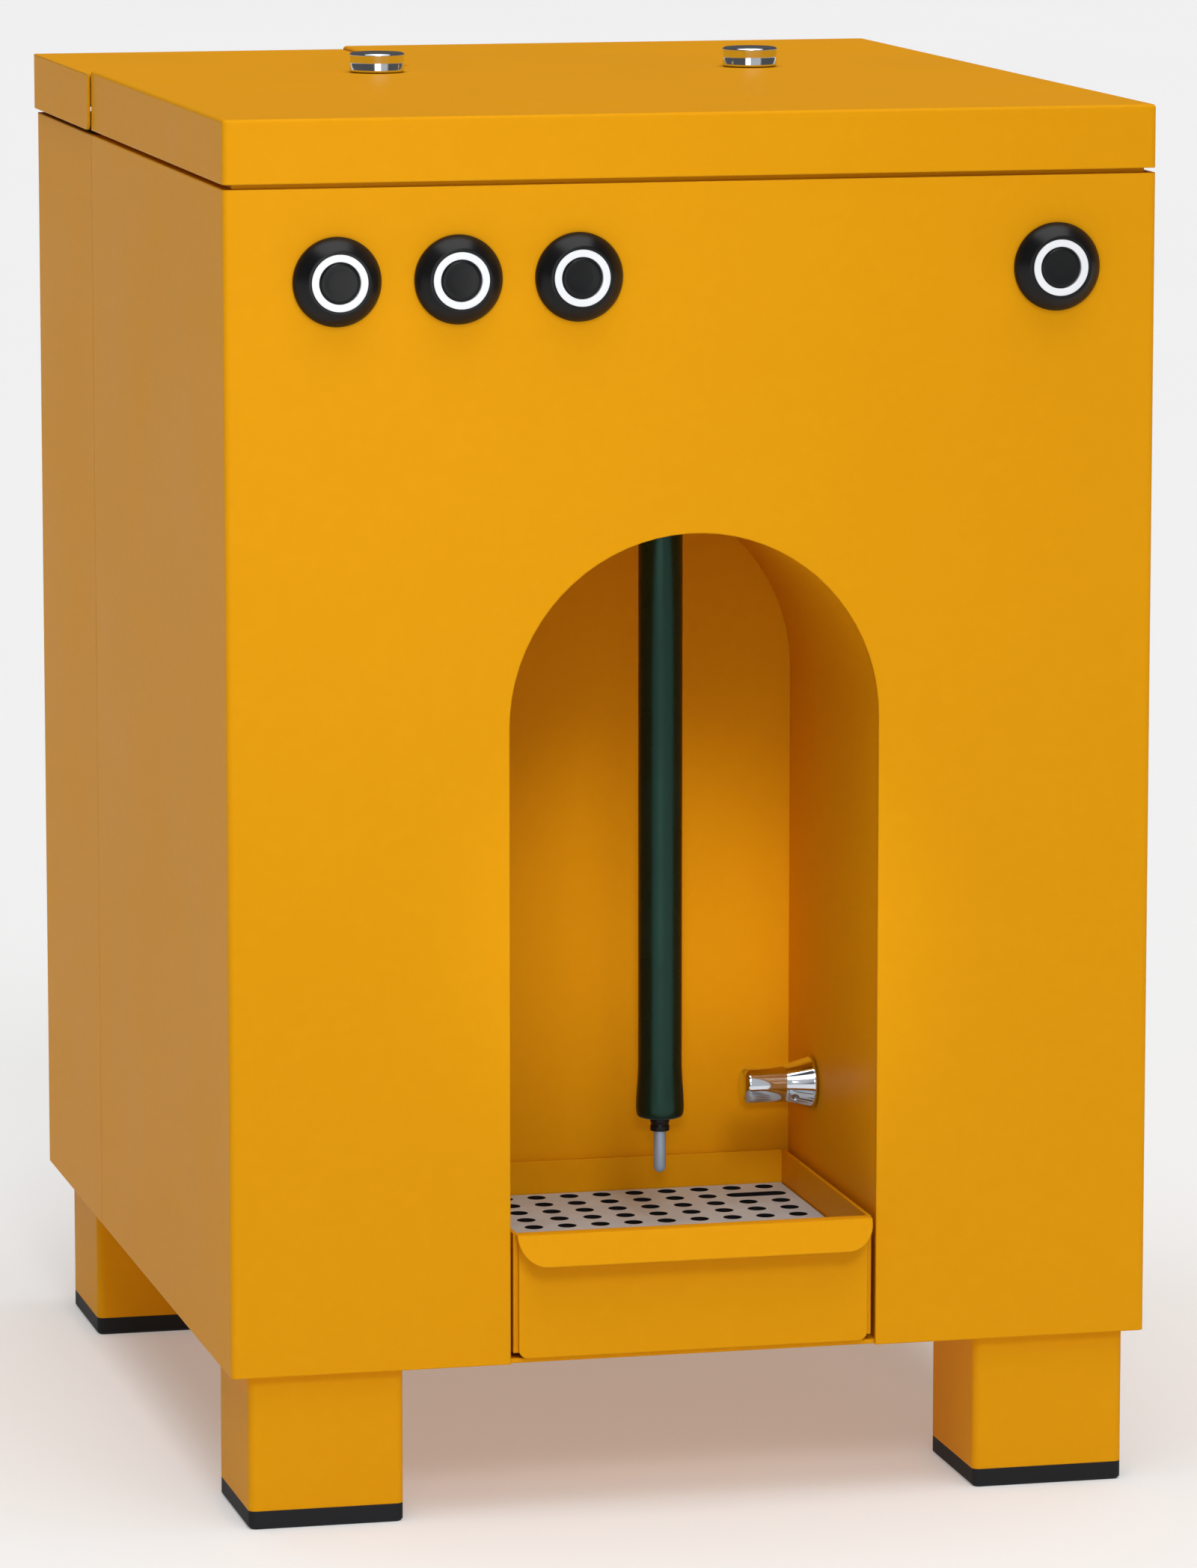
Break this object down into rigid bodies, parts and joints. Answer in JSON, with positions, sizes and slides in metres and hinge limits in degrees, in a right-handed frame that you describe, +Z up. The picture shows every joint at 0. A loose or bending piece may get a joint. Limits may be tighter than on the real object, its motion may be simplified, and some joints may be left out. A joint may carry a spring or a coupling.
{
  "type": "steam dispenser cabinet",
  "caption": "Counter-top steam dispenser: amber sheet-steel cabinet on square legs, arched niche with hanging steam wand, drip tray, push buttons and lift-off lid.",
  "frame": {"origin": "on the resting plane, under the middle of the cabinet", "axes": "+Z up, front faces -Y, +X to the right of a person in front"},
  "size_m": [0.3012, 0.3637, 0.4527],
  "materials": {
    "cabinet_paint": "satin powder coat",
    "polished_chrome": "polished",
    "brushed_steel": "brushed",
    "foot_rubber": "matt",
    "black_plastic": "satin",
    "ring_white": "gloss",
    "wand_sleeve": "satin",
    "brass": "machined",
    "tank_plastic": "translucent",
    "circuit_board": "solder mask",
    "zinc_steel": "zinc plated",
    "pipe_metal": "drawn tube"
  },
  "bodies": {
    "cabinet": {"base_plate": "cabinet_paint", "board_standoffs": "zinc_steel", "boiler": "brushed_steel", "boiler_stand": "zinc_steel", "button_bezels": "black_plastic", "button_contact_blocks": "black_plastic", "button_nuts": "black_plastic", "button_rings": "ring_white", "button_spring_1": "zinc_steel", "button_spring_2": "zinc_steel", "button_spring_3": "zinc_steel", "button_spring_4": "zinc_steel", "control_board": "circuit_board", "cover_screws": "zinc_steel", "foot_pad_front_left": "foot_rubber", "foot_pad_front_right": "foot_rubber", "foot_pad_rear_left": "foot_rubber", "foot_pad_rear_right": "foot_rubber", "front_shell": "cabinet_paint", "leg_bolts": "zinc_steel", "leg_front_left": "cabinet_paint", "leg_front_right": "cabinet_paint", "leg_rear_left": "cabinet_paint", "leg_rear_right": "cabinet_paint", "lid_rail": "zinc_steel", "niche_back": "cabinet_paint", "niche_shroud": "cabinet_paint", "pipework": "pipe_metal", "power_inlet": "black_plastic", "pump": "black_plastic", "rear_cover": "cabinet_paint", "solenoid_valve": "brass", "switch_frame": "black_plastic", "tank_hinge_leaf": "brushed_steel", "tank_hinge_pin": "brushed_steel", "tray_runners": "black_plastic", "valve_body": "brass", "valve_nut": "brass", "wand_gland_nut": "brass", "wand_socket": "brass", "water_tank": "tank_plastic"},
    "main_lid": {"main_lid": "cabinet_paint"},
    "thumb_screw_left": {"thumb_screw_left": "polished_chrome"},
    "thumb_screw_right": {"thumb_screw_right": "polished_chrome"},
    "tank_lid": {"tank_lid": "cabinet_paint"},
    "tray": {"drip_tray": "cabinet_paint", "tray_front": "cabinet_paint"},
    "grille": {"drip_grille": "brushed_steel"},
    "wand": {"wand_tube": "brushed_steel", "wand_sleeve": "wand_sleeve", "wand_collar": "black_plastic", "wand_nozzle": "brushed_steel"},
    "valve_control": {"valve_knob": "polished_chrome", "valve_grub_screw": "zinc_steel", "valve_spindle": "brushed_steel"},
    "rocker": {"switch_rocker": "black_plastic"},
    "button_1": {"button_cap_1": "black_plastic"},
    "button_2": {"button_cap_2": "black_plastic"},
    "button_3": {"button_cap_3": "black_plastic"},
    "button_4": {"button_cap_4": "black_plastic"}
  },
  "joints": [
    {"name": "button_1_press", "type": "slide", "parent": "cabinet", "child": "button_1", "axis": [0, 1, 0], "range_m": [0, 0.003], "stiffness_N_per_m": 400, "springref_m": -0.003, "deforming": ["button_spring_1"]},
    {"name": "button_2_press", "type": "slide", "parent": "cabinet", "child": "button_2", "axis": [0, 1, 0], "range_m": [0, 0.003], "stiffness_N_per_m": 400, "springref_m": -0.003, "deforming": ["button_spring_2"]},
    {"name": "button_3_press", "type": "slide", "parent": "cabinet", "child": "button_3", "axis": [0, 1, 0], "range_m": [0, 0.003], "stiffness_N_per_m": 400, "springref_m": -0.003, "deforming": ["button_spring_3"]},
    {"name": "button_4_press", "type": "slide", "parent": "cabinet", "child": "button_4", "axis": [0, 1, 0], "range_m": [0, 0.003], "stiffness_N_per_m": 400, "springref_m": -0.003, "deforming": ["button_spring_4"]},
    {"name": "main_lid_lift", "type": "slide", "parent": "cabinet", "child": "main_lid", "axis": [0, 0, 1], "range_m": [0, 0.06]},
    {"name": "thumb_screw_left_turn", "type": "hinge", "parent": "main_lid", "child": "thumb_screw_left", "pos_m": [-0.058, 0.033, 0.446], "axis": [0, 0, 1], "continuous": true},
    {"name": "thumb_screw_right_turn", "type": "hinge", "parent": "main_lid", "child": "thumb_screw_right", "pos_m": [0.071, 0.033, 0.446], "axis": [0, 0, 1], "continuous": true},
    {"name": "tank_lid_hinge", "type": "hinge", "parent": "cabinet", "child": "tank_lid", "pos_m": [-0.0955, 0.1782, 0.4414], "axis": [-1, 0, 0], "range_deg": [0, 100]},
    {"name": "tray_slide", "type": "slide", "parent": "cabinet", "child": "tray", "axis": [0, -1, 0], "range_m": [0, 0.11]},
    {"name": "grille_lift", "type": "slide", "parent": "tray", "child": "grille", "axis": [0, 0, 1], "range_m": [0, 0.012]},
    {"name": "wand_swing", "type": "hinge", "parent": "cabinet", "child": "wand", "pos_m": [0, -0.129, 0.324], "axis": [-1, 0, 0], "range_deg": [-8, 20]},
    {"name": "valve_turn", "type": "hinge", "parent": "cabinet", "child": "valve_control", "pos_m": [0.0597, -0.095, 0.1205], "axis": [1, 0, 0], "range_deg": [0, 270]},
    {"name": "mains_switch", "type": "hinge", "parent": "cabinet", "child": "rocker", "pos_m": [0.118, 0.173, 0.13], "axis": [1, 0, 0], "range_deg": [0, 14]}
  ]
}
